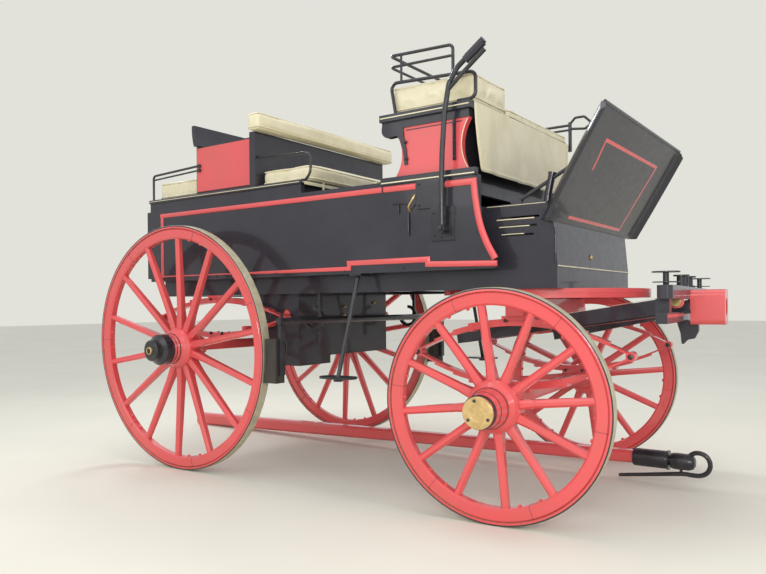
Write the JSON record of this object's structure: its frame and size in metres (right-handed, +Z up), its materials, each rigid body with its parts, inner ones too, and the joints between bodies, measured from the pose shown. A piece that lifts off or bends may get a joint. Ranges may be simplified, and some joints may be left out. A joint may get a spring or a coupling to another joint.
{
  "type": "horse drawn break carriage",
  "caption": "Four-wheeled horse drawn break with a high driving seat, two seats back to back behind it and a fore-carriage that steers.",
  "frame": {"origin": "on the ground, under the middle of the whole carriage's outline", "axes": "+X towards the front, +Y to the carriage's left, +Z up"},
  "size_m": [3.302, 1.693, 1.8065],
  "materials": {
    "black_paint": "gloss coach black",
    "red_paint": "gloss coach red",
    "cream_leather": "soft cream leather",
    "black_iron": "black painted iron",
    "iron_tyre": "worn dusty iron",
    "brass": "polished, a little dull",
    "block_wood": "dark worn wood"
  },
  "bodies": {
    "body": {"arm_irons": "black_iron", "back_box": "black_paint", "back_box_panels": "red_paint", "bench": "black_paint", "body_beads": "red_paint", "boot_shoulders": "black_paint", "boot_sides": "black_paint", "brake_beam": "black_iron", "brake_blocks": "block_wood", "brake_lever": "black_iron", "companion_cushion": "cream_leather", "crossbars": "black_paint", "dash": "black_paint", "driver_cushion": "cream_leather", "front_seat_board": "black_paint", "middle_back": "black_paint", "middle_cushion": "cream_leather", "middle_roll": "cream_leather", "rear_axle": "red_paint", "rear_back": "black_paint", "rear_cushion": "cream_leather", "rear_rails": "black_iron", "rear_springs": "red_paint", "riser_boards": "black_paint", "seat_fall": "cream_leather", "seat_irons": "black_iron", "seat_risers": "red_paint", "side_panels": "black_paint", "side_steps": "black_iron", "sills": "black_paint", "tail_hinges": "black_iron", "toe_board": "black_paint", "tub_floor": "black_paint", "under_box": "black_paint", "upper_wheel_plate": "red_paint"},
    "fore_carriage": {"fore_bed": "red_paint", "front_axle": "red_paint", "front_springs": "red_paint", "futchells": "black_paint", "kingpin": "black_iron", "lower_wheel_plate": "red_paint", "pole_socket": "red_paint", "roller_bolts": "black_iron", "splinter_bar": "black_paint"},
    "tailboard": {"tailboard": "black_paint"},
    "pole": {"pole": "red_paint", "pole_hook": "black_iron"},
    "front_left_wheel": {"front_left_wheel": "red_paint", "front_left_tyre": "iron_tyre", "front_left_hub_cap": "brass"},
    "front_right_wheel": {"front_right_wheel": "red_paint", "front_right_tyre": "iron_tyre", "front_right_hub_cap": "brass"},
    "rear_left_wheel": {"rear_left_wheel": "red_paint", "rear_left_tyre": "iron_tyre", "rear_left_hub_cap": "black_iron"},
    "rear_right_wheel": {"rear_right_wheel": "red_paint", "rear_right_tyre": "iron_tyre", "rear_right_hub_cap": "black_iron"}
  },
  "joints": [
    {"name": "steer", "type": "hinge", "parent": "body", "child": "fore_carriage", "pos_m": [0.9562, 0, 0.82], "axis": [0, 0, 1], "range_deg": [-40, 30]},
    {"name": "tailboard_drop", "type": "hinge", "parent": "body", "child": "tailboard", "pos_m": [-1.0828, 0, 0.92], "axis": [0, -1, 0], "range_deg": [0, 90]},
    {"name": "pole_slide", "type": "slide", "parent": "body", "child": "pole", "axis": [0.9999, -0.0136, 0], "range_m": [0, 0.6]},
    {"name": "front_left_wheel_turn", "type": "hinge", "parent": "fore_carriage", "child": "front_left_wheel", "pos_m": [0.89876, 0.65649, 0.42053], "axis": [-0.0871, 0.9956, -0.0349], "continuous": true},
    {"name": "front_right_wheel_turn", "type": "hinge", "parent": "fore_carriage", "child": "front_right_wheel", "pos_m": [1.01363, -0.65649, 0.42053], "axis": [-0.0871, 0.9956, 0.0349], "continuous": true},
    {"name": "rear_left_wheel_turn", "type": "hinge", "parent": "body", "child": "rear_left_wheel", "pos_m": [-0.6498, 0.674, 0.58543], "axis": [0, 0.9994, -0.0349], "continuous": true},
    {"name": "rear_right_wheel_turn", "type": "hinge", "parent": "body", "child": "rear_right_wheel", "pos_m": [-0.6498, -0.674, 0.58543], "axis": [0, 0.9994, 0.0349], "continuous": true}
  ]
}
